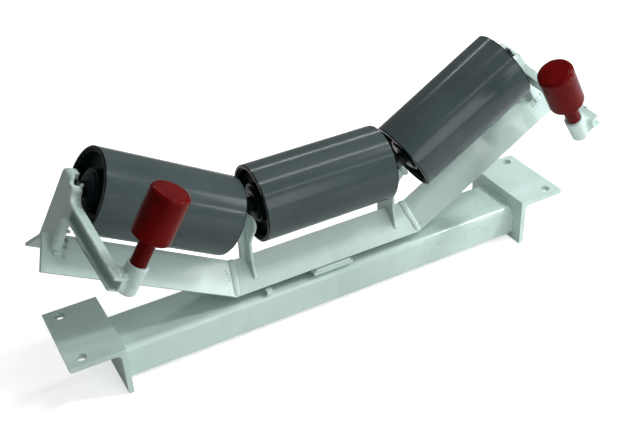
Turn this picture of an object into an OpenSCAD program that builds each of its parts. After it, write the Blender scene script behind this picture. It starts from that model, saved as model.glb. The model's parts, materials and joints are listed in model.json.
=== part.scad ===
// Self-aligning troughing idler set.  A fixed base beam on two bolt-down feet
// carries a swivelling trough frame with three carrying rollers and, on two
// cast arms, two vertical guide rollers that steer the frame when the belt
// wanders.  Millimetres.  X runs across the belt, the arms reach towards -Y,
// Z is up, and Z = 0 is the plane that the feet are bolted down on.

/* [Feet] */
// bolt centre distance across the belt
bolt_pitch_x = 740; // [730:2:790]
// bolt centre distance along the belt
bolt_pitch_y = 95; // [88:1:104]
// bolt hole diameter
bolt_d = 14; // [12:0.5:15]
// bolt centre to the outer edge of a foot
foot_edge = 20; // [17:1:24]
// bolt centre to the end of a foot
foot_end = 15; // [13:1:20]
// leg of the foot angle
foot_leg = 75; // [70:1:80]
// thickness of the foot angle
foot_t = 8; // [6:0.5:9]

/* [Base beam] */
// width of the bent channel
beam_w = 80; // [78:1:90]
// depth of the bent channel
beam_h = 48; // [46:1:54]
// plate thickness of the bent channel
beam_t = 5; // [4:0.5:5.5]
// top of the beam below the seat of the feet
beam_drop = 11; // [8:0.5:12]

/* [Swivel frame] */
// leg of the ridge angle
angle_leg = 50; // [48:1:53]
// thickness of the ridge angle
angle_t = 5; // [4:0.5:6]
// outer toe edges of the frame above the beam
frame_gap = 14; // [13:0.5:16]
// trough angle of the wing rollers
trough_angle = 30; // [27:0.5:33]
// ridge knee beyond the end of the middle roller
knee_gap = 38.3; // [35:0.5:41]
// wing beyond the outer end of its roller
wing_tail = 32; // [30:1:40]

/* [Pivot] */
// length of the pivot plate across the belt
pad_l = 62; // [56:1:90]
// thickness of the pivot plate
pad_t = 5; // [4:0.5:6]
// kingpin diameter in its bush
pin_d = 25; // [23:0.5:26]
// swing stop distance from the pivot
stop_x = 101; // [95:1:115]
// swing each way before the stop meets
stop_swing = 10; // [8:0.5:11]
// length of a stop lug across the belt
lug_l = 8; // [7:0.5:14]

/* [Carrying rollers] */
// tube diameter
roller_d = 108; // [104:1:114]
// tube length
roller_l = 200; // [190:2:215]
// tube wall
tube_wall = 4; // [3:0.5:5]
// shaft diameter
shaft_d = 20; // [18:0.5:20]
// width over the flats at the ends of a shaft
flat_w = 14; // [12:0.5:15]
// middle tube above the ridge
lift_mid = 26; // [22:1:30]
// wing tube above the ridge
lift_wing = 11; // [9:0.5:14]
// gap between the upper rims of neighbouring tubes
rim_gap = 12.5; // [11:0.5:15]

/* [Brackets] */
// plate thickness of the inner brackets
plate_t = 5; // [4:0.5:5.5]
// half width of an inner bracket at its head
head_w = 31; // [28:0.5:34]
// half width of an inner bracket at its neck
neck_w = 18; // [16:0.5:20]
// top of an inner bracket below the axis of the middle roller
head_drop = 3; // [0:0.5:5]
// gap between the middle tube and its brackets
plate_gap = 11; // [10:0.5:12]
// gap between a wing tube and the brackets at its ends
wing_gap = 9; // [8:0.5:10]
// depth of the castings along the wing
cast_depth = 14; // [12:0.5:16]
// top of a strut above the axis of its roller
strut_up = 15.5; // [14:0.5:18]
// wall thickness of the cast arms
cast_t = 4; // [3.5:0.5:5]
// height of the arm
arm_h = 21.5; // [19:0.5:24]
// reach of the arm from the roller axis to the guide roller axis
arm_reach = 160.5; // [146:0.5:176]
// fall of the arm below square
arm_fall = 4.5; // [0:0.5:6]
// turn of the arm in from square
arm_toe = 2.8; // [0:0.2:4]

/* [Guide rollers] */
// guide roller diameter
guide_d = 47; // [45:0.5:52]
// guide roller length
guide_l = 60; // [58:1:70]
// neck between the boss and the guide roller
guide_neck = 36; // [31:1:41]
// spindle diameter at the neck
neck_d = 20; // [18:0.5:21]
// boss diameter
boss_d = 26; // [24:0.5:30]
// boss height
boss_h = 38.5; // [35:0.5:42]
// top of the boss above the axis of the arm
boss_up = 24.5; // [22:0.5:27]

/* [Hidden] */
$fn = 72;
paint = [0.80, 0.86, 0.84];
tube_grey = [0.35, 0.38, 0.39];
cap_black = [0.06, 0.07, 0.08];
bright = [0.72, 0.73, 0.74];
dull = [0.45, 0.46, 0.47];
bronze = [0.66, 0.47, 0.25];
guide_red = [0.50, 0.02, 0.03];

foot_len = bolt_pitch_y + 2 * foot_end;
foot_heel = bolt_pitch_x / 2 + foot_edge - foot_leg;
beam_top = -beam_drop;
toe_y = angle_leg / sqrt(2);
toe_in = angle_t / sqrt(2);
ridge_z = beam_top + frame_gap + toe_y;
toe_z = ridge_z - toe_y - toe_in;
pad_w = 2 * toe_y + 9;
pad_z = toe_z - pad_t;

roller_r = roller_d / 2;
half_l = roller_l / 2;
mid_z = ridge_z + lift_mid + roller_r;
knee_x = half_l + knee_gap;
ca = cos(trough_angle);
sa = sin(trough_angle);
wing_h = lift_wing + roller_r;
wing_s = (half_l + rim_gap + roller_r * sa - knee_x + wing_h * sa) / ca;
wing_l = wing_s + roller_l + wing_tail;
slot_w = flat_w + 0.3;
plate_x = half_l + plate_gap;
shaft_over = plate_gap + plate_t;
shaft_pocket = shaft_over - wing_gap + 1;

cast_s = wing_s + roller_l + wing_gap;
strut_f = -17;
strut_b = 27;
arm_z = wing_h - 19.5;
arm_end = arm_reach + boss_d / 2;
boss_x = -(cast_depth + boss_d / 2 + 1.5);
boss_low = boss_up - boss_h;
guide_up = boss_h + guide_neck;
lug_y = beam_w / 2 - 6;

// ball bearing 6204 in each end of a carrying roller
brg_r = 23.5;
brg_w = 14;
brg_in = 9;
brg_far = brg_in + brg_w;
// ball bearing 6202, two in each guide roller
gbrg_r = 17.5;
gbrg_bore = 7.5;
gbrg_w = 11;
gbrg_z = [4, guide_l - 29];
// thrust bearing 51106 and kingpin stack
thrust_h = 11;
thrust_r = 23.5;
thrust_bore = 15;
ball_r = 3;
ball_pitch = 19.5;
cup_z = pad_z - thrust_h;
bush_h = 25;
bush_z = cup_z - bush_h;
nut_h = 9;

// ---------------------------------------------------------------- placing

// left is the mirror image of right across X
module side(left) {
    if (left) mirror([1, 0, 0]) children();
    else children();
}

// wing frame: X along the wing, Z square to its ridge, origin at the knee
module wing(left) {
    side(left) translate([knee_x, 0, ridge_z]) rotate([0, -trough_angle, 0]) children();
}

// roller frame: Z along the roller axis, origin at its middle
module roller_at(where) {
    if (where == 0) translate([0, 0, mid_z]) rotate([0, 90, 0]) children();
    else wing(where < 0) translate([wing_s + half_l, 0, wing_h]) rotate([0, 90, 0]) children();
}

// arm frame: the arm runs along -Y, Z along its boss, outer face on X = 0
module arm_at(left) {
    wing(left) translate([cast_s + cast_depth, 0, arm_z])
        rotate([arm_fall, 0, 0]) rotate([0, 0, -arm_toe]) children();
}

// guide frame: Z along the spindle, origin at the underside of the boss
module guide_at(left) {
    arm_at(left) translate([boss_x, -arm_reach, boss_low]) children();
}

// profile in Y and Z, run along X from x0
module along_x(x0, l) {
    translate([x0, 0, 0]) rotate([90, 0, 90]) linear_extrude(l) children();
}

// a part at both ends of a roller
module both_ends() {
    children();
    mirror([0, 0, 1]) children();
}

// ---------------------------------------------------------------- sections

// rolled equal angle, heel at the origin, legs along +X and +Y
module angle_2d(leg, t) {
    r = t;
    e = t / 2;
    difference() {
        union() {
            square([leg, t]);
            square([t, leg]);
            translate([t, t]) square(r);
        }
        translate([t + r, t + r]) circle(r);
        translate([leg - e, t - e]) difference() {
            square(e + 1);
            circle(e);
        }
        translate([t - e, leg - e]) difference() {
            square(e + 1);
            circle(e);
        }
    }
}

// ridge angle, heel up at the origin
module ridge_2d() {
    rotate(-135) angle_2d(angle_leg, angle_t);
}

// everything below the outer faces of the ridge
module under_ridge_2d() {
    polygon([[0, 0], [-150, -150], [150, -150]]);
}

// channel with bent corners, top edge at Y = 0
module channel_2d(w, h, r) {
    translate([-w / 2, -h]) square([w, h - r]);
    translate([-w / 2 + r, -r]) square([w - 2 * r, r]);
    for (m = [-1, 1]) translate([m * (w / 2 - r), -r]) circle(r);
}

module mitre_cut(sgn) {
    rotate([0, sgn * trough_angle / 2, 0]) translate([0, -150, -150]) cube(300);
}

// ---------------------------------------------------------------- base

module base_beam() {
    r = beam_t + 3;
    color(paint) difference() {
        along_x(-foot_heel, 2 * foot_heel) translate([0, beam_top]) difference() {
            channel_2d(beam_w, beam_h, r);
            translate([0, -beam_t]) channel_2d(beam_w - 2 * beam_t, beam_h, r - beam_t);
        }
        translate([0, 0, beam_top - beam_t - 1]) cylinder(r = 27, h = beam_t + 2);
    }
}

module foot(left) {
    color(paint) side(left) difference() {
        translate([foot_heel, 0, foot_t]) rotate([90, 0, 0])
            linear_extrude(foot_len, center = true) mirror([0, 1]) angle_2d(foot_leg, foot_t);
        for (y = [-1, 1]) translate([bolt_pitch_x / 2, y * bolt_pitch_y / 2, -1])
            cylinder(d = bolt_d, h = foot_t + 2);
    }
}

module foot_left() foot(true);
module foot_right() foot(false);

// fillet welds between the beam and the heel leg of each foot
module base_welds() {
    a = 5;
    color(paint) for (l = [true, false]) side(l) translate([foot_heel, 0, 0]) {
        translate([0, 0, beam_top]) rotate([90, 0, 0])
            linear_extrude(beam_w - 2 * beam_t - 6, center = true)
                polygon([[0, 0], [-a, 0], [0, a]]);
        for (m = [-1, 1]) translate([0, m * beam_w / 2, beam_top - beam_h + 2])
            linear_extrude(beam_h - beam_t - 5)
                polygon(m > 0 ? [[0, 0], [0, a], [-a, 0]] : [[0, 0], [-a, 0], [0, -a]]);
    }
}

// turned housing welded into the beam, with the seat of the thrust bearing
module pivot_housing() {
    color(paint) rotate_extrude() polygon([
        [thrust_r, beam_top], [27, beam_top], [27, beam_top - beam_t],
        [33, beam_top - beam_t], [33, beam_top - beam_t - 6], [27, beam_top - beam_t - 9],
        [25, bush_z], [pin_d / 2 + 3.5, bush_z], [pin_d / 2 + 3.5, cup_z],
        [thrust_r, cup_z]]);
}

module pivot_bush() {
    color(bronze) translate([0, 0, bush_z]) difference() {
        cylinder(r = pin_d / 2 + 3.5, h = bush_h - 1);
        translate([0, 0, -1]) cylinder(r = pin_d / 2 + 0.05, h = bush_h + 2);
    }
}

module thrust_race_lower() {
    color(bright) translate([0, 0, cup_z]) rotate_extrude() difference() {
        translate([thrust_bore + 1.2, 0]) square([thrust_r - thrust_bore - 1.2, 3.4]);
        translate([ball_pitch, thrust_h / 2]) circle(ball_r + 0.1);
    }
}

// two lugs at the beam's edges that end the swing
module stop_lugs() {
    t = beam_w / 2 - 0.5 - lug_y;
    color(paint) for (m = [-1, 1]) translate([-stop_x, m * (lug_y + t / 2), beam_top])
        translate([-lug_l / 2, -t / 2, 0]) cube([lug_l, t, frame_gap - toe_in - 1]);
}

// ---------------------------------------------------------------- frame

module frame_centre() {
    color(paint) translate([0, 0, ridge_z]) difference() {
        along_x(-knee_x - 30, 2 * knee_x + 60) ridge_2d();
        for (l = [true, false]) side(l) translate([knee_x, 0, 0]) mitre_cut(-1);
    }
}

module frame_wing(left) {
    color(paint) wing(left) difference() {
        along_x(-30, wing_l + 30) ridge_2d();
        rotate([0, trough_angle / 2, 0]) translate([-300, -150, -150]) cube(300);
    }
}

module frame_wing_left() frame_wing(true);
module frame_wing_right() frame_wing(false);

// weld beads along the crease of each mitre, over both faces of the ridge
module knee_welds() {
    r = 4;
    sunk = 1.5;
    lean = atan(cos(trough_angle / 2));
    color(paint) for (l = [true, false]) side(l) difference() {
        translate([knee_x, 0, ridge_z]) rotate([0, -trough_angle / 2, 0])
            for (m = [0, 1]) mirror([0, m, 0]) intersection() {
                rotate([lean, 0, 0]) translate([0, -sunk, 3 - angle_leg])
                    cylinder(r = r, h = angle_leg + 3);
                translate([-20, 0, -60]) cube([40, 60, 80]);
            }
        along_x(-10, knee_x + 60) translate([0, ridge_z]) under_ridge_2d();
        translate([knee_x, 0, ridge_z]) rotate([0, -trough_angle, 0])
            along_x(-60, 200) under_ridge_2d();
    }
}

module pivot_plate() {
    color(paint) difference() {
        translate([-pad_l / 2, -pad_w / 2, pad_z]) cube([pad_l, pad_w, pad_t]);
        translate([0, 0, pad_z - 1]) cylinder(r = thrust_bore, h = pad_t + 2);
    }
}

// fillets under the toes of the ridge angle
module pivot_welds() {
    color(paint) for (m = [0, 1]) mirror([0, m, 0])
        along_x(-pad_l / 2 + 3, pad_l - 6) polygon([
            [-toe_y + toe_in, toe_z], [-toe_y, toe_z + toe_in], [-pad_w / 2 + 0.5, toe_z]]);
}

module kingpin() {
    r = pin_d / 2;
    color(bright) difference() {
        rotate_extrude() polygon([
            [0, pad_z + pad_t + 6], [thrust_bore - 1, pad_z + pad_t + 6],
            [thrust_bore, pad_z + pad_t + 5], [thrust_bore, pad_z - 4],
            [r, pad_z - 5], [r, bush_z + 1],
            [10, bush_z - 0.3], [10, bush_z - 15], [9, bush_z - 16], [0, bush_z - 16]]);
        translate([0, 0, bush_z - 11]) rotate([90, 0, 0]) cylinder(r = 2, h = 40, center = true);
    }
}

module thrust_race_upper() {
    color(bright) translate([0, 0, pad_z]) rotate_extrude() difference() {
        translate([thrust_bore + 0.02, -3.4]) square([thrust_r - thrust_bore - 0.42, 3.4]);
        translate([ball_pitch, -thrust_h / 2]) circle(ball_r + 0.1);
    }
}

module thrust_balls() {
    color(bright) translate([0, 0, pad_z - thrust_h / 2]) for (i = [0:11])
        rotate(i * 30) translate([ball_pitch, 0, 0]) sphere(r = ball_r);
}

module pivot_washer() {
    color(bright) translate([0, 0, bush_z - 3.3]) difference() {
        cylinder(r = 18, h = 3);
        translate([0, 0, -1]) cylinder(r = 10.1, h = 5);
    }
}

// slotted nut
module pivot_nut() {
    color(bright) translate([0, 0, bush_z - 3.3 - nut_h]) difference() {
        cylinder(d = 34.6, h = nut_h, $fn = 6);
        translate([0, 0, -1]) cylinder(r = 10.1, h = nut_h + 2);
        for (i = [0:2]) rotate(30 + i * 60) translate([-20, -2.2, -1]) cube([40, 4.4, 4.4]);
    }
}

module split_pin() {
    color(bright) translate([0, 0, bush_z - 11]) {
        rotate([90, 0, 0]) cylinder(r = 1.8, h = 38, center = true);
        translate([0, -21.5, 0]) rotate([0, 90, 0]) rotate_extrude($fn = 32)
            translate([3, 0]) circle(1.4, $fn = 24);
    }
}

// tongue inside the ridge that meets the stop lugs
module swing_tongue() {
    top = ridge_z - angle_t * sqrt(2);
    low = beam_top + 2;
    t = 6;
    w = (lug_y - (stop_x + t / 2) * sin(stop_swing + 0.3)) / cos(stop_swing);
    color(paint) along_x(-stop_x - t / 2, t) polygon([
        [-w, low], [w, low], [w, 3], [top - 6.5, 3], [top - 6.5, 6.5], [12, top - 12],
        [-12, top - 12], [6.5 - top, 6.5], [6.5 - top, 3], [-w, 3]]);
}

// ---------------------------------------------------------------- brackets

// slot that a shaft drops into, its seat rounded to the shaft
module slot_2d() {
    intersection() {
        circle(d = shaft_d);
        square([slot_w, shaft_d + 2], center = true);
    }
    translate([-slot_w / 2, 0]) square([slot_w, 60]);
}

// plate of an inner bracket, origin on the ridge
module inner_plate_2d(rise) {
    r = 14;
    top = rise - head_drop;
    waist = top - 50;
    translate([-neck_w, -neck_w - 2]) square([2 * neck_w, waist + neck_w + 3]);
    polygon([[-neck_w, waist], [neck_w, waist], [head_w, top - 31], [-head_w, top - 31]]);
    translate([-head_w, top - 31]) square([2 * head_w, 31 - r]);
    translate([r - head_w, top - 31]) square([2 * (head_w - r), 31]);
    for (m = [-1, 1]) translate([m * (head_w - r), top - r]) circle(r);
}

module inner_bracket(left) {
    rise = mid_z - ridge_z;
    face = plate_x + plate_t;
    tab_s = wing_s - wing_gap - plate_t;
    function run(h) = (face - knee_x + h * sa) / ca;
    lo = wing_h - 24;
    hi = wing_h + 5;
    color(paint) {
        // plate on the ridge, between the tubes
        side(left) translate([0, 0, ridge_z]) along_x(plate_x, plate_t) difference() {
            inner_plate_2d(rise);
            under_ridge_2d();
            translate([0, rise]) slot_2d();
        }
        // saddle for the wing shaft, square to it
        wing(left) {
            along_x(tab_s, plate_t) difference() {
                union() {
                    translate([0, wing_h - 2]) circle(22);
                    translate([-18.5, lo]) square([37, 20]);
                }
                translate([0, wing_h]) slot_2d();
                translate([-30, wing_h + 8]) square([60, 20]);
            }
            // gussets from the plate to the saddle
            for (m = [-1, 1]) translate([0, m * 16.5 + 2, 0]) rotate([90, 0, 0]) linear_extrude(4)
                polygon([[run(18), 18], [run(hi), hi], [tab_s + 1, hi], [tab_s + 1, lo]]);
        }
    }
}

module inner_bracket_left() inner_bracket(true);
module inner_bracket_right() inner_bracket(false);

// strut outline: V foot on the ridge, high back, low front prong
module strut_2d() {
    top = wing_h + strut_up;
    low = wing_h + 6;
    back = -2;
    r = 9;
    rf = 5;
    difference() {
        union() {
            translate([strut_f, -50]) square([strut_b - strut_f, low - rf + 50]);
            translate([strut_f + rf, low - rf - 1]) square([back - strut_f - rf + 1, rf + 1]);
            translate([strut_f + rf, low - rf]) circle(rf);
            translate([back, low - rf - 1]) square([strut_b - back, top - r - low + rf + 1]);
            translate([back + rf, top - r - 1]) square([strut_b - r - back - rf, r + 1]);
            translate([back, top - r - 1]) square([rf + 1, r - rf + 1]);
            translate([back + rf, top - rf]) circle(rf);
            translate([strut_b - r, top - r]) circle(r);
            translate([back, low]) mirror([1, 0]) fillet_2d(4);
        }
        under_ridge_2d();
    }
}

// strut with its outer top rounded and a blind slot that the shaft drops into
module strut() {
    difference() {
        along_x(cast_s, cast_depth) strut_2d();
        along_x(cast_s - 1, shaft_pocket + 1) translate([0, wing_h]) slot_2d();
        translate([cast_s + cast_depth, 0, wing_h + strut_up]) rotate([90, 0, 0])
            linear_extrude(100, center = true) rotate(180) fillet_2d(8);
    }
}

// solid section of the arm with rounded edges
module arm_2d() {
    r = 2;
    translate([-cast_depth, r - arm_h / 2]) square([cast_depth, arm_h - 2 * r]);
    translate([r - cast_depth, -arm_h / 2]) square([cast_depth - 2 * r, arm_h]);
    for (x = [r - cast_depth, -r], z = [-1, 1]) translate([x, z * (arm_h / 2 - r)]) circle(r);
}

// channel in the outer side of the arm, open at the far end
module arm_channel_2d() {
    r = 3;
    h = arm_h - 2 * cast_t;
    root = -30;
    translate([-arm_end - 1, -h / 2]) square([arm_end + 1 + root - r, h]);
    translate([root - r - 1, r - h / 2]) square([r + 1, h - 2 * r]);
    for (z = [-1, 1]) translate([root - r, z * (h / 2 - r)]) circle(r);
}

// fillet of radius r in the corner at the origin, between +X and +Y
module fillet_2d(r) {
    difference() {
        translate([-1, -1]) square(r + 1);
        translate([r, r]) circle(r);
    }
}

// bridge between the arm and its boss
module bridge_2d() {
    rear = 11 - arm_reach;
    front = -9 - arm_reach;
    translate([boss_x, front]) square([2 - cast_depth - boss_x, rear - front]);
    translate([-cast_depth, rear]) mirror([1, 0]) fillet_2d(10);
    translate([-cast_depth, front]) rotate(180) fillet_2d(boss_d / 2 - 9);
}

// casting: strut with the shaft slot, channel arm open outwards, boss on its inner side
module end_bracket(left) {
    color(paint) {
        wing(left) strut();
        arm_at(left) difference() {
            union() {
                translate([0, -8, 0]) rotate([90, 0, 0]) linear_extrude(arm_end - 8) arm_2d();
                // sweep of the front prong into the arm, and the crotch below it
                along_x(-cast_depth, cast_depth) {
                    translate([strut_f + 1.7, arm_h / 2]) mirror([1, 0]) fillet_2d(12);
                    translate([strut_f - 1.4, -arm_h / 2]) rotate(180) fillet_2d(8);
                }
                translate([0, 0, 0.5 - arm_h / 2]) linear_extrude(arm_h - 1) bridge_2d();
                // web that rises from the arm to the collar of the boss
                translate([0, 8 - arm_reach, 0]) rotate([90, 0, 0]) linear_extrude(15)
                    polygon([[5 - cast_depth, arm_h / 2 - 1], [boss_x, boss_up - 3],
                        [boss_x, arm_h / 2 - 2]]);
                translate([boss_x, -arm_reach, boss_low]) rotate_extrude() polygon([
                    [0, 0], [boss_d / 2 - 3, 0], [boss_d / 2 - 1.2, 2], [boss_d / 2, boss_h - 1.5],
                    [boss_d / 2 - 1.2, boss_h], [0, boss_h]]);
            }
            translate([cast_t - cast_depth, 0, 0]) along_x(0, cast_depth) arm_channel_2d();
            translate([boss_x, -arm_reach, boss_low - 1]) cylinder(r = 8, h = boss_h + 2);
            translate([boss_x, -arm_reach, boss_low + 9]) rotate([-90, 0, 0])
                cylinder(r = 3, h = 30);
        }
    }
}

module end_bracket_left() end_bracket(true);
module end_bracket_right() end_bracket(false);

// ---------------------------------------------------------------- rollers

module roller_tube(where) {
    b = roller_r - tube_wall;
    color(tube_grey) roller_at(where) rotate_extrude($fn = 120) polygon([
        [b, -half_l], [roller_r - 1, -half_l], [roller_r, -half_l + 1],
        [roller_r, half_l - 1], [roller_r - 1, half_l], [b, half_l]]);
}

// pressed bearing housings in the ends of the tube
module roller_caps(where) {
    b = roller_r - tube_wall;
    o = brg_r + 3.5;
    color(cap_black) roller_at(where) both_ends() translate([0, 0, half_l])
        rotate_extrude($fn = 96) polygon([
            [b, -3], [b - 2.8, -3], [b - 3.8, -14], [o + 2, -17], [o, -14], [o, -4],
            [brg_r, -4], [brg_r, -brg_far], [brg_r - 3, -brg_far], [brg_r - 3, -brg_far - 3],
            [o, -brg_far - 3], [o, 3 - brg_far], [b - 2.8, -17], [b, -17]]);
}

// outer rings and shields
module roller_bearings(where) {
    i = shaft_d / 2 + 4.4;
    o = brg_r - 3.9;
    color(bright) roller_at(where) both_ends() translate([0, 0, half_l - brg_far])
        rotate_extrude() polygon([
            [brg_r, 0], [brg_r, brg_w], [i, brg_w], [i, brg_w - 1], [o, brg_w - 1],
            [o, 1], [i, 1], [i, 0]]);
}

module roller_seals(where) {
    i = shaft_d / 2 + 1.5;
    color(cap_black) roller_at(where) both_ends() translate([0, 0, half_l - brg_in + 0.5])
        rotate_extrude() polygon([
            [brg_r, 0], [brg_r, 4.5], [20.6, 4.5], [20.6, 1.5], [17.4, 1.5], [17.4, 4.5],
            [16.2, 4.5], [16.2, 1.5], [i, 1.5], [i, 0]]);
}

// inner rings on the shaft
module roller_races(where) {
    color(bright) roller_at(where) both_ends() translate([0, 0, half_l - brg_far]) difference() {
        cylinder(d = shaft_d + 8, h = brg_w);
        translate([0, 0, -1]) cylinder(d = shaft_d, h = brg_w + 2);
    }
}

// covers on the shaft that close the labyrinth
module roller_covers(where) {
    r = shaft_d / 2;
    color(cap_black) roller_at(where) both_ends() translate([0, 0, half_l])
        rotate_extrude() polygon([
            [r, -9], [r + 1, -9], [r + 1, -6.5], [15.4, -6.5], [15.4, -3.5], [18, -3.5],
            [18, -6], [20, -6], [20, -3.5], [22.8, -3.5], [22.8, -1.5], [20, -0.5],
            [14, -0.5], [13, 0.5], [r, 0.5]]);
}

// shaft with shoulders inside the bearings and flats at both ends
module roller_shaft(where) {
    r = shaft_d / 2;
    b = half_l - brg_far;
    e = half_l + shaft_over;
    color(bright) roller_at(where) intersection() {
        rotate_extrude() polygon([
            [0, -e], [r - 1, -e], [r, 1 - e], [r, -b], [r + 2, -b],
            [r + 2, b], [r, b], [r, e - 1], [r - 1, e], [0, e]]);
        union() {
            cube([60, flat_w, 2 * e + 2], center = true);
            cube([60, 60, 2 * half_l + 3], center = true);
        }
    }
}

module roller_left_tube() roller_tube(-1);
module roller_left_caps() roller_caps(-1);
module roller_left_bearings() roller_bearings(-1);
module roller_left_seals() roller_seals(-1);
module roller_left_races() roller_races(-1);
module roller_left_covers() roller_covers(-1);
module roller_left_shaft() roller_shaft(-1);
module roller_centre_tube() roller_tube(0);
module roller_centre_caps() roller_caps(0);
module roller_centre_bearings() roller_bearings(0);
module roller_centre_seals() roller_seals(0);
module roller_centre_races() roller_races(0);
module roller_centre_covers() roller_covers(0);
module roller_centre_shaft() roller_shaft(0);
module roller_right_tube() roller_tube(1);
module roller_right_caps() roller_caps(1);
module roller_right_bearings() roller_bearings(1);
module roller_right_seals() roller_seals(1);
module roller_right_races() roller_races(1);
module roller_right_covers() roller_covers(1);
module roller_right_shaft() roller_shaft(1);

// ---------------------------------------------------------------- guides

// closed cup that turns on two bearings
module guide_body(left) {
    r = guide_d / 2;
    color(guide_red) guide_at(left) translate([0, 0, guide_up]) rotate_extrude() difference() {
        union() {
            polygon([[0, 0], [r - 1, 0], [r, 1], [r, guide_l - 5], [r - 5, guide_l - 0.8],
                     [r - 6, guide_l], [0, guide_l]]);
            translate([r - 5, guide_l - 5]) intersection() {
                circle(5);
                square(5);
            }
        }
        translate([-1, -1]) square([gbrg_r + 1, gbrg_z[1] + gbrg_w + 1]);
        translate([-1, 0]) square([gbrg_r - 2.5, guide_l - 6]);
    }
}

module guide_bearings(left) {
    i = gbrg_bore + 3.1;
    o = gbrg_r - 2.5;
    color(bright) guide_at(left) translate([0, 0, guide_up]) for (z = gbrg_z) translate([0, 0, z])
        rotate_extrude() polygon([
            [gbrg_r, 0], [gbrg_r, gbrg_w], [i, gbrg_w], [i, gbrg_w - 1],
            [o, gbrg_w - 1], [o, 1], [i, 1], [i, 0]]);
}

module guide_seal(left) {
    color(cap_black) guide_at(left) translate([0, 0, guide_up]) rotate_extrude() polygon([
        [gbrg_r, 0.5], [gbrg_r, 3.6], [neck_d / 2 + 0.5, 3.6], [neck_d / 2 + 0.5, 1.5],
        [gbrg_r - 2.5, 0.5]]);
}

module guide_races(left) {
    color(bright) guide_at(left) translate([0, 0, guide_up]) for (z = gbrg_z) translate([0, 0, z])
        difference() {
            cylinder(r = gbrg_bore + 2.7, h = gbrg_w);
            translate([0, 0, -1]) cylinder(r = gbrg_bore, h = gbrg_w + 2);
        }
}

module guide_spindle(left) {
    r = neck_d / 2;
    end = guide_up + gbrg_z[1] + gbrg_w + 2;
    color(guide_red) guide_at(left) rotate_extrude() polygon([
        [0, 1], [7, 1], [8, 2], [8, boss_h], [r, boss_h], [r, guide_up + gbrg_z[0]],
        [gbrg_bore, guide_up + gbrg_z[0]], [gbrg_bore, end - 1], [gbrg_bore - 1, end], [0, end]]);
}

module guide_screw(left) {
    color(dull) guide_at(left) translate([0, 8, 9]) rotate([-90, 0, 0]) difference() {
        cylinder(r = 2.98, h = 6);
        translate([0, 0, 3]) cylinder(d = 3.4, h = 4, $fn = 6);
    }
}

module guide_left_body() guide_body(true);
module guide_left_bearings() guide_bearings(true);
module guide_left_seal() guide_seal(true);
module guide_left_races() guide_races(true);
module guide_left_spindle() guide_spindle(true);
module guide_left_screw() guide_screw(true);
module guide_right_body() guide_body(false);
module guide_right_bearings() guide_bearings(false);
module guide_right_seal() guide_seal(false);
module guide_right_races() guide_races(false);
module guide_right_spindle() guide_spindle(false);
module guide_right_screw() guide_screw(false);

base_beam();
foot_left();
foot_right();
base_welds();
pivot_housing();
pivot_bush();
thrust_race_lower();
stop_lugs();
frame_centre();
frame_wing_left();
frame_wing_right();
knee_welds();
pivot_plate();
pivot_welds();
kingpin();
thrust_race_upper();
thrust_balls();
pivot_washer();
pivot_nut();
split_pin();
swing_tongue();
inner_bracket_left();
inner_bracket_right();
end_bracket_left();
end_bracket_right();
roller_left_tube();
roller_left_caps();
roller_left_bearings();
roller_left_seals();
roller_left_races();
roller_left_covers();
roller_left_shaft();
roller_centre_tube();
roller_centre_caps();
roller_centre_bearings();
roller_centre_seals();
roller_centre_races();
roller_centre_covers();
roller_centre_shaft();
roller_right_tube();
roller_right_caps();
roller_right_bearings();
roller_right_seals();
roller_right_races();
roller_right_covers();
roller_right_shaft();
guide_left_body();
guide_left_bearings();
guide_left_seal();
guide_left_races();
guide_left_spindle();
guide_left_screw();
guide_right_body();
guide_right_bearings();
guide_right_seal();
guide_right_races();
guide_right_spindle();
guide_right_screw();
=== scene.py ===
"""Looks of a self-aligning troughing idler set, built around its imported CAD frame.

Everything is in metres, in the frame of the CAD part: X across the belt, Y along
it, Z up, with Z = 0 at the plane that the feet are bolted down on.
"""

import json
import math
import random

import bmesh
import bpy
from mathutils import Matrix, Vector, noise

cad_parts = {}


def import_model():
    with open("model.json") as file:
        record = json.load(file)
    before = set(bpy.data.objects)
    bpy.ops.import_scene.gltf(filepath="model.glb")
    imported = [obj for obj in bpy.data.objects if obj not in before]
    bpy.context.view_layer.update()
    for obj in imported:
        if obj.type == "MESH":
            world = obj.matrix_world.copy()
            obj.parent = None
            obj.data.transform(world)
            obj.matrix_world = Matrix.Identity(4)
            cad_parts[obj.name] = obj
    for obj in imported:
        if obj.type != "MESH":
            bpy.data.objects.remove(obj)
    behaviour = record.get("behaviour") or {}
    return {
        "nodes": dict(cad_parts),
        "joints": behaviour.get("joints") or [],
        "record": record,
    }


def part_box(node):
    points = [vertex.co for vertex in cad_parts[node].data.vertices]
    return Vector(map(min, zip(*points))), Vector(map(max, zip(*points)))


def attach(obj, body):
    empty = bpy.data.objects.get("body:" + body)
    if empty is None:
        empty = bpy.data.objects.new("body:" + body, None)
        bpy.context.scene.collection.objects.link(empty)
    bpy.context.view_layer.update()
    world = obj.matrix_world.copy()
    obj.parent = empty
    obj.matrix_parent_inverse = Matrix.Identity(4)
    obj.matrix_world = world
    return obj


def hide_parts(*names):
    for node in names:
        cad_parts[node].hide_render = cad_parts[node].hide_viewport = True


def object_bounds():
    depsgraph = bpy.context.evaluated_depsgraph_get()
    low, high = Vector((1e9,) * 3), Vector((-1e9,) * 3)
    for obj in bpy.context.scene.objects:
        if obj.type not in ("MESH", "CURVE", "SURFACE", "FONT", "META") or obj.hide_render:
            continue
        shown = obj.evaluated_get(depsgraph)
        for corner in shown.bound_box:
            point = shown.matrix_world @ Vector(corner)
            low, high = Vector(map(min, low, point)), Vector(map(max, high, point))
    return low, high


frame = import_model()
cad_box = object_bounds()
NODES = frame["nodes"]
SLOTS = {s["node"]: s["material_slot"] for s in frame["record"]["subparts"]}
JOINTS = {j["name"]: j for j in frame["joints"]}

# ------------------------------------------------------------------ sizes

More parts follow.
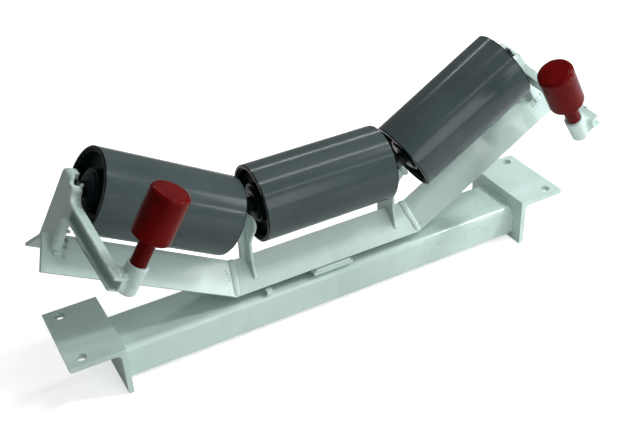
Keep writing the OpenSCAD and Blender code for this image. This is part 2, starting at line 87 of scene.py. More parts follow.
MM = 0.001
SIDES = ("left", "right")
MIRROR = Matrix.Scale(-1, 4, (1, 0, 0))

# ridge of angle iron, from the box of its middle length
CENTRE_LOW, CENTRE_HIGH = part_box("frame_centre")
RIDGE_Z = CENTRE_HIGH[2]
TOE_DROP = CENTRE_HIGH[2] - CENTRE_LOW[2]
TOE_Y = CENTRE_HIGH[1]

# the right wing's own frame, with its origin on the ridge at the knee: X up along
# the wing, Y as in the CAD, Z square off the ridge
WING_AXIS = Vector(JOINTS["roller_right_spin"]["axis"]).normalized()
TROUGH = math.atan2(WING_AXIS.z, WING_AXIS.x)
KNEE_X = CENTRE_HIGH[0] - TOE_DROP * math.tan(TROUGH / 2)
WING = Matrix.Translation((KNEE_X, 0, RIDGE_Z)) @ Matrix.Rotation(-TROUGH, 4, "Y")

# carrying rollers
TUBE_LOW, TUBE_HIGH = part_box("roller_centre_tube")
ROLLER_HALF = (TUBE_HIGH[0] - TUBE_LOW[0]) / 2
MID_Z = JOINTS["roller_centre_spin"]["pos_m"][2]
WING_ROLLER = WING.inverted() @ Vector(JOINTS["roller_right_spin"]["pos_m"])
SHAFT_R = 10 * MM
# the black of the rims sets in between these distances from the tube's end
RIM_IN = 2.2 * MM
RIM_OUT = 1.4 * MM

# castings at the ends of the wings: a strut, and below its top an arm
ROLLER_TO_STRUT = 9 * MM
STRUT_T = 14 * MM
CAST_IN = WING_ROLLER.x + ROLLER_HALF + ROLLER_TO_STRUT
CAST_OUT = CAST_IN + STRUT_T
STRUT_FRONT = -17 * MM
ARM_Z = WING_ROLLER.z - 19.5 * MM
# the strut's outer front edge is rounded, less and less over the last stretch up to the arm
STRUT_ROUND = 7 * MM
ROUND_END = ARM_Z - 14 * MM
ROUND_FADE = 10 * MM

# the right arm's own frame: it falls and turns inwards from the casting, with -Y
# along it, X out of its open side and Z across its channel
GUIDE_AXIS = WING.inverted().to_3x3() @ Vector(JOINTS["guide_right_spin"]["axis"])
ARM_FALL = math.atan2(-GUIDE_AXIS.y, GUIDE_AXIS.z)
ARM_TOE = math.radians(2.8)
ARM = (WING @ Matrix.Translation((CAST_OUT, 0, ARM_Z)) @ Matrix.Rotation(ARM_FALL, 4, "X")
       @ Matrix.Rotation(-ARM_TOE, 4, "Z"))
TIP_PAST_GUIDE = 13 * MM
ARM_TIP = (ARM.inverted() @ Vector(JOINTS["guide_right_spin"]["pos_m"])).y - TIP_PAST_GUIDE
ARM_LOW = -10.75 * MM
# the lower corner of its tip is rounded, this far in from the open side
NOSE_ROUND = 9 * MM
NOSE_DEPTH = 16 * MM
# flash runs along it between these
FLASH_START = -12 * MM
FLASH_END = ARM_TIP + 22 * MM

# inner brackets: a leaf across the ridge, a rib and a saddle for the wing's shaft
LEAF_OUT = 115.6 * MM
LEAF_T = 4.2 * MM
LEAF_FOOT = 25.5 * MM
LEAF_NECK = 18 * MM
LEAF_HEAD = 31 * MM
LEAF_CORNER = 13 * MM
LEAF_TOP = MID_Z - 3 * MM
LEAF_WAIST = LEAF_TOP - 47 * MM
# the leaf's upper rims bend inwards, from this far off its middle and by this much
DISH_START = 13 * MM
DISH = 4.2 * MM
RIB_T = 7 * MM
RIB_LAP = 2 * MM
SADDLE_IN = WING_ROLLER.x - ROLLER_HALF - 14 * MM
SADDLE_T = 5 * MM
SADDLE_R = 22 * MM
SLOT_HALF = 7.15 * MM

# an outline is drawn in X and Y and runs along Z: these turn it to lie in Y and Z and
# run along X, or to lie in X and Z and run along -Y
ACROSS_BELT = Matrix(((0, 0, 1, 0), (1, 0, 0, 0), (0, 1, 0, 0), (0, 0, 0, 1)))
ALONG_BELT = Matrix(((1, 0, 0, 0), (0, 0, -1, 0), (0, 1, 0, 0), (0, 0, 0, 1)))

# skins of the castings: how fine they are, and height and waves to the metre of the
# swells on them
CAST_VOXEL = 0.9 * MM
PLATE_VOXEL = 0.8 * MM
SWELL_HEIGHT = 0.20 * MM
SWELL_WAVES = 55
FINE_HEIGHT = 0.07 * MM
FINE_WAVES = 240
FLASH_WAVES = 170
END_SEED = {"left": 11.0, "right": 47.0}
INNER_SEED = {"left": 23.0, "right": 61.0}
# lumps and drops of metal: waves to their radius
LUMP_WAVES = 1.7

# weld beads: half width and height
KNEE_BEAD = (5.2 * MM, 2.1 * MM)
STRUT_BEAD = (1.9 * MM, 1.7 * MM)
STRUT_FRONT_BEAD = (3.4 * MM, 3.0 * MM)
LEAF_BEAD = (1.7 * MM, 1.5 * MM)
FOOT_TOP_BEAD = (3.6 * MM, 3.0 * MM)
FOOT_SIDE_BEAD = (3.4 * MM, 2.8 * MM)
PIVOT_BEAD = (2.8 * MM, 2.6 * MM)
LUG_BEAD = (2.0 * MM, 1.8 * MM)
# how they are drawn: steps along and around, easing of corners, wandering and swelling
# with their waves to the metre, and least size at their ends
BEAD_STEP = 0.55 * MM
BEAD_AROUND = 14
BEAD_EASING = 6
BEAD_WANDER = 0.35 * MM
WANDER_WAVES = 90
BEAD_SWELL = 0.13
BEAD_WAVES = 140
BEAD_END_MIN = 0.06
# ripples: from one to the next, how far their crown lags, and height
RIPPLE_PITCH = 2.4 * MM
RIPPLE_LAG = 0.55
RIPPLE_HEIGHT = 0.075
# sideways lean of a bead's normal for each metre off the ridge's crest
CREST_TURN = 300

# camera, as a turn round a target point
CAM_AZ = math.radians(-27.10)
CAM_EL = math.radians(33.91)
CAM_ROLL = math.radians(-2.90)
CAM_TARGET = Vector((9.72, 14.16, 48.43)) * MM
CAM_DISTANCE = 1407.12 * MM
CAM_LENS = 55.36
CAM_SENSOR = 36.0

# ------------------------------------------------------------------ colours

WHITE = (1.0, 1.0, 1.0)
PALE = (0.545, 0.685, 0.652)
PALE_SHADE = (0.470, 0.605, 0.565)
PALE_STREAK = tuple(level * 0.72 for level in PALE_SHADE)
STAIN = (0.16, 0.19, 0.155)
PIN_HOLE = (0.12, 0.12, 0.10)
WORN = (0.11, 0.115, 0.10)
# painted shade for the corners beside the struts' feet
CORNER_SHADE = (0.070, 0.092, 0.080)
TUBE_GREY = (0.043, 0.061, 0.062)
TUBE_CLOUD = (0.053, 0.074, 0.075)
TUBE_TURNED = (0.085, 0.108, 0.109)
TUBE_SCUFF = (0.14, 0.155, 0.15)
TUBE_RIM = (0.004, 0.006, 0.007)
CAP_BLACK = (0.003, 0.013, 0.014)
CAP_DUST = (0.016, 0.048, 0.051)
RED = (0.125, 0.0024, 0.0019)
RED_DEEP = (0.085, 0.0014, 0.0014)
RED_CHIP = (0.03, 0.004, 0.004)
RUBBER = (0.008, 0.009, 0.009)
RUBBER_DUST = (0.04, 0.042, 0.04)
FLOOR_LIT = (0.78, 0.79, 0.79)
FLOOR_SEEN = (0.93, 0.93, 0.93)
FLOOR_GLOW_SEEN = 0.60
FLOOR_GLOW_MIRRORED = 0.02
SKY_SEEN = 1.0
SKY_MIRRORED = 0.25
SKY_LIT = 0.15

# painted shade in the corner beside each end casting's inner foot: place along the wing,
# down the front face of its ridge, size and strength
CORNER_SHADE_SPOTS = [
    (WING @ Vector((along, -down, -down)), size, strength)
    for along, down, size, strength in (
        (CAST_IN - 7 * MM, 4 * MM, 6 * MM, 0.85),
        (CAST_IN - 6 * MM, 11 * MM, 7 * MM, 0.55),
        (CAST_IN - 5 * MM, 18 * MM, 7 * MM, 0.30),
    )
]

# ------------------------------------------------------------------ node graphs


class Graph:
    """Node tree of a material or of the world, with short calls for what is used here."""

    def __init__(self, owner):
        owner.use_nodes = True
        self.owner = owner
        self.tree = owner.node_tree
        self.tree.nodes.clear()
        self.coords = None

    @property
    def here(self):
        """Place on the object, in the CAD frame."""
        if self.coords is None:
            self.coords = self.node("TexCoord").outputs["Object"]
        return self.coords

    def node(self, kind, inputs=None, **settings):
        """A new node, with values or links for its inputs."""
        made = self.tree.nodes.new("ShaderNode" + kind)
        for key, value in settings.items():
            setattr(made, key, value)
        for key, value in (inputs or {}).items():
            self.put(made.inputs[key], value)
        return made

    def put(self, socket, value):
        """Links an output to the socket, or sets its value."""
        if isinstance(value, bpy.types.NodeSocket):
            self.tree.links.new(value, socket)
        elif isinstance(value, (tuple, list)) and len(value) == 3 and socket.type == "RGBA":
            socket.default_value = (*value, 1.0)
        else:
            socket.default_value = value

    def math(self, operation, a, b=0.0, c=0.0):
        """Result of up to three values or links."""
        made = self.node("Math", operation=operation)
        for socket, value in zip(made.inputs, (a, b, c)):
            self.put(socket, value)
        return made.outputs[0]

    def vector(self, operation, a, b=(0, 0, 0)):
        """Result of one or two vectors: a number for a product or a length."""
        made = self.node("VectorMath", {0: a, 1: b}, operation=operation)
        return made.outputs["Value" if operation in ("DOT_PRODUCT", "LENGTH") else "Vector"]

    def noise(self, scale, detail=3.0, rough=0.5, warp=0.0, stretch=None):
        """Cloudy pattern around 0.5, with scale waves to the metre."""
        at = self.here
        if stretch:
            at = self.node("Mapping", {"Vector": at, "Scale": stretch}).outputs[0]
        made = self.node("TexNoise", {"Vector": at, "Scale": scale, "Detail": detail,
                                      "Roughness": rough, "Distortion": warp})
        return made.outputs["Fac"]

    def ramp(self, value, low, high):
        """0 below low, 1 above high, smooth between."""
        made = self.node("MapRange", {"Value": value, "From Min": low, "From Max": high},
                         interpolation_type="SMOOTHSTEP")
        return made.outputs[0]

    def scale(self, value, low, high):
        """Values from 0 to 1 brought to the range from low to high."""
        made = self.node("MapRange", {"Value": value, "To Min": low, "To Max": high})
        return made.outputs[0]

    def mix(self, factor, a, b):
        """Colour a where factor is 0, b where it is 1."""
        made = self.node("Mix", {0: factor}, data_type="RGBA")
        self.put(made.inputs[6], a)
        self.put(made.inputs[7], b)
        return made.outputs[2]

    def cover(self, colour, mask, strength, over):
        """A colour with another over it where the mask is 1, as strongly as told."""
        return self.mix(self.math("MULTIPLY", mask, strength), colour, over)

    def bump(self, height, depth, normal=None, strength=1.0):
        """Normal of a surface that rises by depth where height is 1, on top of another."""
        inputs = {"Height": height, "Distance": depth, "Strength": strength}
        if normal:
            inputs["Normal"] = normal
        return self.node("Bump", inputs).outputs[0]

    def round_edges(self, radius):
        """Normal of a surface whose edges are rounded."""
        return self.node("Bevel", {"Radius": radius}, samples=6).outputs[0]

    def edges(self, rounded):
        """0 on flats and more on edges, as the rounded normal leans from the true one."""
        true = self.node("NewGeometry").outputs["Normal"]
        return self.math("SUBTRACT", 1.0, self.vector("DOT_PRODUCT", rounded, true))

    def rays(self):
        """1 for rays from the camera, and 1 for mirrored and refracted rays."""
        path = self.node("LightPath").outputs
        mirrored = self.math("MAXIMUM", path["Is Glossy Ray"], path["Is Transmission Ray"])
        return path["Is Camera Ray"], mirrored

    def finish(self, **sockets):
        """The material, with a surface whose sockets are named with underscores."""
        inputs = {key.replace("_", " "): value for key, value in sockets.items()}
        shader = self.node("BsdfPrincipled", inputs)
        self.node("OutputMaterial", {"Surface": shader.outputs[0]})
        return self.owner


def new_material(name):
    """Graph of a new material."""
    return Graph(bpy.data.materials.new(name))


# ------------------------------------------------------------------ materials


def paint_corner_shade(g, colour, spots):
    """Painted shade in the corners at the given spots: ragged dark smudges, alike on both
    sides.
    """
    x, y, z = g.node("SeparateXYZ", {"Vector": g.here}).outputs
    folded = g.node("CombineXYZ", {"X": g.math("ABSOLUTE", x), "Y": y, "Z": z}).outputs[0]
    streaks = g.noise(170, detail=4, rough=0.6, warp=0.4, stretch=(1.0, 0.25, 0.25))
    for centre, size, strength in spots:
        apart = g.vector("LENGTH", g.vector("SUBTRACT", folded, tuple(centre)))
        ragged = g.math("ADD", apart, g.scale(streaks, -size, size))
        shade_mask = g.math("SUBTRACT", 1.0, g.ramp(ragged, 0.0, size))
        # painted shade, darkest at each spot and ragged at its edge
        colour = g.cover(colour, shade_mask, strength, CORNER_SHADE)
    return colour


def pale_tone(g):
    """Pale enamel, clouded, with streaks that run down and stains."""
    cloud = g.noise(7, detail=4, rough=0.55, warp=0.4)
    streak = g.noise(14, detail=3, rough=0.6, warp=0.2, stretch=(1.0, 1.0, 0.16))
    stain = g.noise(26, detail=9, rough=0.72, warp=0.6)
    colour = g.mix(g.ramp(cloud, 0.36, 0.68), PALE, PALE_SHADE)
    colour = g.cover(colour, g.ramp(streak, 0.54, 0.74), 0.20, PALE_STREAK)
    return g.cover(colour, g.ramp(stain, 0.585, 0.70), 0.20, STAIN)


def worn_edges(g, rounded):
    """1 where the paint has gone from an edge, in patches."""
    patches = g.scale(g.noise(75, detail=6, rough=0.7), 0.2, 1.8)
    return g.ramp(g.math("MULTIPLY", g.edges(rounded), patches), 0.19, 0.30)


def paint(name, grain, depth, edge=0.8 * MM, rough=(0.15, 0.26), wear=0.5, spots=()):
    """Enamel brushed over steel: cloudy tone, dirt, pin holes, worn edges, and painted shade at
    any spots given.
    """
    g = new_material(name)
    rounded = g.round_edges(edge)
    # painted shade in corners wherever spots are given
    colour = paint_corner_shade(g, pale_tone(g), spots)
    pin_holes = g.ramp(g.noise(420, detail=2), 0.745, 0.78)
    colour = g.cover(colour, pin_holes, 0.4, PIN_HOLE)
    worn = worn_edges(g, rounded)
    colour = g.cover(colour, worn, wear, WORN)
    peel = g.bump(g.noise(150, detail=2), 0.04 * MM, rounded, strength=0.5)
    grains = g.bump(g.noise(grain, detail=5, rough=0.62, warp=0.2), depth, peel)
    wave = g.bump(g.noise(16, detail=2, rough=0.4), 0.6 * MM, grains, strength=0.35)
    gloss = g.math("ADD", g.scale(g.noise(38, detail=5, rough=0.6), *rough),
                   g.math("MULTIPLY", worn, 0.3))
    return g.finish(Base_Color=colour, Roughness=gloss, Normal=wave, IOR=1.52,
                    Specular_IOR_Level=0.4, Coat_Weight=0.25, Coat_Roughness=0.05)


def roller_enamel(name, centre, axis):
    """Stove enamel on a turned tube: grey on the barrel, black on the rims."""
    g = new_material(name)
    along = g.vector("DOT_PRODUCT", g.vector("SUBTRACT", g.here, tuple(centre)), tuple(axis))
    lathe = g.node("TexNoise", {"W": along, "Scale": 900.0, "Detail": 3.0},
                   noise_dimensions="1D").outputs["Fac"]
    scuff = g.ramp(g.noise(60, detail=8, rough=0.75, warp=1.2), 0.60, 0.74)
    cloud = g.noise(11, detail=4, rough=0.6, warp=0.3)
    colour = g.mix(g.ramp(cloud, 0.35, 0.7), TUBE_GREY, TUBE_CLOUD)
    colour = g.cover(colour, g.ramp(lathe, 0.4, 0.7), 0.10, TUBE_TURNED)
    colour = g.cover(colour, scuff, 0.10, TUBE_SCUFF)
    reach = g.math("ADD", g.math("ABSOLUTE", along), g.scale(g.noise(120), -0.5 * MM, 0.5 * MM))
    rim = g.ramp(reach, ROLLER_HALF - RIM_IN, ROLLER_HALF - RIM_OUT)
    colour = g.mix(rim, colour, TUBE_RIM)
    peel = g.bump(g.noise(170, detail=2), 0.03 * MM, strength=0.6)
    rings = g.bump(lathe, 0.010 * MM, peel, strength=0.5)
    gloss = g.math("ADD", g.scale(g.noise(30, detail=5, rough=0.6), 0.15, 0.21),
                   g.math("MULTIPLY", scuff, 0.10))
    return g.finish(Base_Color=colour, Roughness=gloss, Normal=rings, IOR=1.5,
                    Specular_IOR_Level=0.20)


def black_steel(name):
    """Black pressed steel under dust, for the rollers' caps and covers."""
    g = new_material(name)
    dust = g.ramp(g.noise(55, detail=7, rough=0.7, warp=0.4), 0.52, 0.78)
    peel = g.bump(g.noise(240, rough=0.55), 0.05 * MM, g.round_edges(0.6 * MM), strength=0.7)
    return g.finish(Base_Color=g.cover(CAP_BLACK, dust, 0.3, CAP_DUST), Normal=peel, IOR=1.5,
                    Roughness=g.scale(g.noise(70, detail=5, rough=0.6), 0.24, 0.40),
                    Specular_IOR_Level=0.16)


def red_enamel(name):
    """Deep red gloss of the guide rollers, with small chips."""
    g = new_material(name)
    cloud = g.ramp(g.noise(22, detail=4, rough=0.55, warp=0.3), 0.35, 0.68)
    chips = g.ramp(g.noise(190, detail=6, rough=0.7, warp=0.5), 0.70, 0.735)
    colour = g.cover(g.mix(cloud, RED, RED_DEEP), chips, 0.4, RED_CHIP)
    peel = g.bump(g.noise(210, detail=2), 0.05 * MM, g.round_edges(0.8 * MM), strength=0.6)
    wave = g.bump(g.noise(34, detail=2, rough=0.4), 0.4 * MM, peel, strength=0.35)
    return g.finish(Base_Color=colour, Normal=wave, IOR=1.5, Specular_IOR_Level=0.06,
                    Roughness=g.scale(g.noise(48, detail=5, rough=0.6), 0.10, 0.18))


def steel(name, tone, rough, scratch=900):
    """Bare metal with fine marks and a tint that comes and goes."""
    g = new_material(name)
    marks = g.noise(scratch, detail=4, rough=0.6)
    tint = g.ramp(g.noise(40, detail=5, rough=0.6), 0.4, 0.75)
    colour = g.cover(tone, tint, 0.4, tuple(level * 0.55 for level in tone))
    fine = g.bump(marks, 0.02 * MM, g.round_edges(0.3 * MM), strength=0.6)
    return g.finish(Base_Color=colour, Metallic=1.0, Normal=fine,
                    Roughness=g.scale(marks, rough - 0.07, rough + 0.1))


def rubber(name):
    """Matt black seals with dust on them."""
    g = new_material(name)
    dust = g.ramp(g.noise(140, detail=6, rough=0.7), 0.5, 0.8)
    return g.finish(Base_Color=g.cover(RUBBER, dust, 0.3, RUBBER_DUST),
                    Roughness=g.scale(dust, 0.5, 0.75), Specular_IOR_Level=0.3,
                    Normal=g.bump(g.noise(800), 0.03 * MM))


LOOKS = {
    "frame_paint": paint("frame_paint", grain=260, depth=0.03 * MM),
    # the wings' paint adds painted shade in the corners beside the end castings' feet
    "wing_paint_corner_shaded": paint("wing_paint_corner_shaded", grain=260, depth=0.03 * MM, spots=CORNER_SHADE_SPOTS),
    "cast_paint": paint("cast_paint", grain=330, depth=0.14 * MM, edge=1.2 * MM,
                        rough=(0.22, 0.36)),
    "bead_paint": paint("bead_paint", grain=400, depth=0.06 * MM, edge=0.3 * MM,
                        rough=(0.15, 0.28), wear=0.2),
    "cap_black": black_steel("cap_black"),
    "guide_red": red_enamel("guide_red"),
    "shaft_steel": steel("shaft_steel", (0.045, 0.052, 0.053), 0.30),
    "bearing_steel": steel("bearing_steel", (0.62, 0.63, 0.64), 0.16, scratch=1500),
    "bush_bronze": steel("bush_bronze", (0.62, 0.40, 0.18), 0.3),
    "screw_dark": steel("screw_dark", (0.09, 0.09, 0.09), 0.4),
    "seal_rubber": rubber("seal_rubber"),
}

# the tubes have their own looks, and the wings carry painted shade beside the end castings'
# feet
for side in ("left", "centre", "right"):
    spin = JOINTS[f"roller_{side}_spin"]
    LOOKS[f"roller_{side}_tube"] = roller_enamel(
        f"roller_enamel_{side}", spin["pos_m"], Vector(spin["axis"]).normalized())
for side in SIDES:
    LOOKS[f"frame_wing_{side}"] = LOOKS["wing_paint_corner_shaded"]

for name, obj in NODES.items():
    obj.data.materials.clear()
    obj.data.materials.append(LOOKS.get(name) or LOOKS[SLOTS[name]])

# ------------------------------------------------------------------ helpers


def new_object(name, data):
    """An object in the scene."""
    obj = bpy.data.objects.new(name, data)
    bpy.context.scene.collection.objects.link(obj)
    return obj


def add_piece(name, mesh, look, body="swivel_frame", replaces=()):
    """A visual piece that rides on a body, in place of CAD nodes where it replaces any."""
    mesh.materials.clear()
    mesh.materials.append(LOOKS[look])
    for face in mesh.polygons:
        face.use_smooth = True
    obj = new_object(name, mesh)
    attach(obj, body)
    if replaces:
        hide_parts(*replaces)


def sided(side, matrix):
    """The place on that side of the frame, from the place on the right."""
    return MIRROR @ matrix if side == "left" else matrix


def smooth_step(value, low, high):
    """0 below low, 1 above high, smooth between."""
    t = min(1.0, max(0.0, (value - low) / (high - low)))
    return t * t * (3 - 2 * t)


def arc(centre, radius, start, end, steps=10):
    """Points on an arc, angles in degrees."""
    turns = [math.radians(start + (end - start) * i / steps) for i in range(steps + 1)]
    return [(centre[0] + radius * math.cos(t), centre[1] + radius * math.sin(t)) for t in turns]


def mirrored(points):
    """The points of an outline on its other half, in the order that goes on round it."""
    return [(-u, v) for u, v in reversed(points)]


def to_mesh(name, bm):
    """A mesh with its faces turned outwards."""
    mesh = bpy.data.meshes.new(name)
    bmesh.ops.recalc_face_normals(bm, faces=bm.faces)
    bm.to_mesh(mesh)
    bm.free()
    return mesh


def skin_over(bm, rings):
    """Faces between rings of equally many points, and over both ends."""
    count = len(rings[0])
    for one, two in zip(rings, rings[1:]):
        for i in range(count):
            j = (i + 1) % count
            bm.faces.new((one[i], one[j], two[j], two[i]))
    bm.faces.new(rings[0][::-1])
    bm.faces.new(rings[-1])


def prism(bm, outline, place, start, depth):
    """Closed solid: an outline in the X and Y of place, run along its Z from start."""
    skin_over(bm, [[bm.verts.new(place @ Vector((u, v, w))) for u, v in outline]
                   for w in (start, start + depth)])


def blob(bm, place, size, seed, rough=0.25):
    """Lump of metal: an ellipsoid of these half lengths, pushed about by noise."""
    made = bmesh.ops.create_icosphere(bm, subdivisions=3, radius=1.0)
    for vert in made["verts"]:
        push = 1 + rough * noise.noise(vert.co * LUMP_WAVES + Vector((seed, 3.1 * seed, 0)))
        stretched = Vector([value * half for value, half in zip(vert.co, size)])
        vert.co = place @ (stretched * push)


def remesh(name, bm, voxel, smooth):
    """Joins overlapping solids into one skin and rounds its edges and corners."""
    rough = new_object(name + "_rough", to_mesh(name + "_rough", bm))
    skin = rough.modifiers.new("skin", "REMESH")
    skin.mode = "VOXEL"
    skin.voxel_size = voxel
    soft = rough.modifiers.new("soft", "SMOOTH")
    soft.factor = 0.5
    soft.iterations = smooth
    deps = bpy.context.evaluated_depsgraph_get()
    mesh = bpy.data.meshes.new_from_object(rough.evaluated_get(deps))
    mesh.name = name
    bpy.data.objects.remove(rough)
    return mesh


# ------------------------------------------------------------------ end castings


def cast_skin(mesh, place, seed, ragged=lambda here, world: 0.0):
    """Sand-cast surface: low swells all over, and what ragged adds at points in place."""
    back = place.inverted()
    normals = [vert.normal.copy() for vert in mesh.vertices]
    for vert, normal in zip(mesh.vertices, normals):
        swell = noise.noise(vert.co * SWELL_WAVES + Vector((seed, 0, 0)))
        fine = noise.noise(vert.co * FINE_WAVES + Vector((0, seed, 0)))
        push = SWELL_HEIGHT * swell + FINE_HEIGHT * fine + ragged(back @ vert.co, vert.co)
        vert.co += normal * push
    mesh.update()


def flash(here, world):
    """Parting flash, with nicks, on the top outer edge of the arm, in the arm's frame."""
    at_edge = smooth_step(here.x, -3.5 * MM, -1 * MM) * smooth_step(here.z, 7 * MM, 9.5 * MM)
    if here.y > FLASH_START or here.y < FLASH_END or at_edge == 0:
        return 0.0
    burr = noise.fractal(world * FLASH_WAVES, 1.0, 2.0, 3)
    fins = 2.0 * max(0.0, burr - 0.05)
    nicks = 1.6 * max(0.0, -burr - 0.22)
    return at_edge * MM * (fins - nicks)


def add_burr(bm, place):
    """Rough lump that the casting kept on the front prong of its slot."""
    prong = place @ Matrix.Translation((CAST_IN + 2.4 * MM, -12.5 * MM, WING_ROLLER.z + 7 * MM))
    leaning = prong @ Matrix.Rotation(0.35, 4, "X")
    inner = prong @ Matrix.Translation((3 * MM, 0, -3 * MM))
    blob(bm, leaning, (2.6 * MM, 2.4 * MM, 6.4 * MM), seed=2.0)
    blob(bm, inner, (5 * MM, 3.4 * MM, 3.2 * MM), seed=5.0)


def round_strut(mesh, place):
    """Rounds the strut's outer front edge, fading out below the arm."""
    middle_x = CAST_OUT - STRUT_ROUND
    middle_y = STRUT_FRONT + STRUT_ROUND
    back = place.inverted()
    for vert in mesh.vertices:
        here = back @ vert.co
        over = Vector((here.x - middle_x, middle_y - here.y))
        if here.z < ROUND_END and over.x > 0 and over.y > 0 and over.length > STRUT_ROUND:
            fade = 1 - smooth_step(here.z, ROUND_END - ROUND_FADE, ROUND_END)
            over = over.lerp(over.normalized() * STRUT_ROUND, fade)
            here.x = middle_x + over.x
            here.y = middle_y - over.y
            vert.co = place @ here


def round_nose(mesh, place):
    """Bends the square lower corner of the arm's tip into an arc, with its flange."""
    middle_y = ARM_TIP + NOSE_ROUND
    middle_z = ARM_LOW + NOSE_ROUND
    back = place.inverted()
    for vert in mesh.vertices:
        here = back @ vert.co
        along = middle_y - here.y
        below = middle_z - here.z
        if along > 0 and below > 0 and here.x > -NOSE_DEPTH:
            turn = max(along, below) / math.hypot(along, below)
            here.y = middle_y - along * turn
            here.z = middle_z - below * turn
            vert.co = place @ here


def end_bracket(side):
    """Casting: the CAD solid with cast edges, a burr on its front prong and flash."""
    wing = sided(side, WING)
    arm = sided(side, ARM)
    bm = bmesh.new()
    bm.from_mesh(NODES[f"end_bracket_{side}"].data)
    add_burr(bm, wing)
    mesh = remesh(f"end_casting_{side}", bm, CAST_VOXEL, smooth=7)
    round_strut(mesh, wing)
    round_nose(mesh, arm)
    cast_skin(mesh, arm, END_SEED[side], flash)
    add_piece(f"end_casting_{side}", mesh, "cast_paint",
              replaces=(f"end_bracket_{side}",))


# ------------------------------------------------------------------ inner brackets


def leaf_outline():
    """Plate in Y and Z with the seat of the middle shaft: straight behind, necked in front."""
    seat = arc((0, MID_Z), SHAFT_R, 198, 342, 14)
    ear = arc((LEAF_HEAD - LEAF_CORNER, LEAF_TOP - LEAF_CORNER), LEAF_CORNER, -15, 90)
    foot = (LEAF_FOOT, RIDGE_Z - LEAF_FOOT)
    behind = [foot, (LEAF_FOOT, LEAF_WAIST - 6 * MM)] + ear
    front = [foot, (LEAF_NECK, LEAF_WAIST - 24 * MM), (LEAF_NECK, LEAF_WAIST)] + ear
    return [(0, RIDGE_Z)] + behind + seat[::-1] + mirrored(front)


def rib_outline():
    """Rib in X and Z, in the plane of the shafts: from the leaf's face to the saddle."""
    low, high = (WING @ Vector((SADDLE_IN + SADDLE_T, 0, WING_ROLLER.z - drop))
                 for drop in (24 * MM, 12 * MM))
    inner = LEAF_OUT - RIB_LAP
    outer = LEAF_OUT + 6 * MM
    ridge = RIDGE_Z - RIB_LAP
    return [(inner, ridge), (outer, ridge), (outer, RIDGE_Z + 27 * MM), (low.x, low.z),
            (high.x, high.z), (inner, MID_Z - 13 * MM)]


def saddle_outline():
    """Saddle in the wing's Y and Z: round below, with a slot open upwards for the shaft."""
    axis = WING_ROLLER.z
    seat = arc((0, axis), SHAFT_R, 180, 360, 16)
    body = arc((0, axis - 2 * MM), SADDLE_R, 200, 340, 18)
    prong = [(20 * MM, axis + 6 * MM), (SLOT_HALF + 3 * MM, axis + 8 * MM),
             (SLOT_HALF, axis + 7 * MM)]
    slot = [p for p in reversed(seat) if abs(p[0]) <= SLOT_HALF]
    return body + prong + slot + mirrored(prong)


def dish(mesh, side):
    """Bends the rims of the leaf's upper part towards the middle of the frame."""
    sign = -1 if side == "left" else 1
    for vert in mesh.vertices:
        if sign * vert.co.x < LEAF_OUT + 1 * MM:
            rim = smooth_step(abs(vert.co.y), DISH_START, LEAF_HEAD)
            lift = smooth_step(vert.co.z, MID_Z - 50 * MM, MID_Z - 25 * MM)
            vert.co.x -= sign * DISH * rim * lift
    mesh.update()


def inner_bracket(side):
    """Dished leaf on the ridge, a rib outside it and a saddle for the wing's shaft."""
    wing = sided(side, WING)
    bm = bmesh.new()
    prism(bm, leaf_outline(), sided(side, ACROSS_BELT), LEAF_OUT - LEAF_T, LEAF_T)
    prism(bm, rib_outline(), sided(side, ALONG_BELT), -RIB_T / 2, RIB_T)
    prism(bm, saddle_outline(), wing @ ACROSS_BELT, SADDLE_IN, SADDLE_T)
    mesh = remesh(f"inner_casting_{side}", bm, PLATE_VOXEL, smooth=5)
    dish(mesh, side)
    cast_skin(mesh, wing, INNER_SEED[side])
    add_piece(f"inner_casting_{side}", mesh, "cast_paint",
              replaces=(f"inner_bracket_{side}",))


# ------------------------------------------------------------------ welds


def resample(path):
    """Points a bead's step apart along a path, eased round its corners."""
    points = []
    for a, b in zip(path, path[1:]):
        count = max(1, round((b - a).length / BEAD_STEP))
        points += [a.lerp(b, i / count) for i in range(count)]
    points.append(path[-1])
    for _ in range(BEAD_EASING):
        inner = [(p + q + r) / 3 for p, q, r in zip(points, points[1:], points[2:])]
        points = [points[0]] + inner + [points[-1]]
    return points


def ripple(crown, far):
    """Swelling of a bead's upper side: each ripple laps over the one before."""
    if crown <= 0:
        return 1.0
    phase = (far / RIPPLE_PITCH + RIPPLE_LAG * crown) % 1.0
    return 1 + RIPPLE_HEIGHT * (1 - phase) * crown ** 0.5


def bead(bm, path, wide, high, normal, seed):
    """Weld bead, slightly wandering, with domed ends.

    Its normal is a direction, or a function that gives one for each point of the path.
    """
    points = resample(path)
    last = len(points) - 1
    rings = []
    for i, point in enumerate(points):
        ahead = (points[min(i + 1, last)] - points[max(i - 1, 0)]).normalized()
        up = (normal(point) if callable(normal) else normal).normalized()
        across = ahead.cross(up).normalized()
        far = i * BEAD_STEP
        wander = BEAD_WANDER * noise.noise(Vector((far * WANDER_WAVES, seed, 0)))
        swell = 1 + BEAD_SWELL * noise.noise(Vector((far * BEAD_WAVES, seed, 5)))
        end = min(i, last - i) * BEAD_STEP
        dome = math.sqrt(max(0.0, 1 - max(0.0, 1 - end / (0.8 * wide)) ** 2))
        full = max(dome, BEAD_END_MIN) * swell
        ring = []
        for k in range(BEAD_AROUND):
            turn = math.tau * k / BEAD_AROUND
            crown = math.cos(turn)
            out = full * ripple(crown, far)
            ring.append(bm.verts.new(point + across * (wander + wide * math.sin(turn) * out)
                                     + up * high * crown * out))
        rings.append(ring)
    skin_over(bm, rings)


def weld(name, beads, body="swivel_frame", replaces=()):
    """One piece of several beads: (path, half width, height, normal)."""
    bm = bmesh.new()
    for i, (path, wide, high, normal) in enumerate(beads):
        bead(bm, path, wide, high, normal, 3.7 * i + len(name))
    add_piece(name, to_mesh(name, bm), "bead_paint", body, replaces)


def off_ridge(point):
    """Direction square off the ridge's faces, which turns over at its crest."""
    return Vector((0, max(-1, min(1, point.y * CREST_TURN)), 1.0))


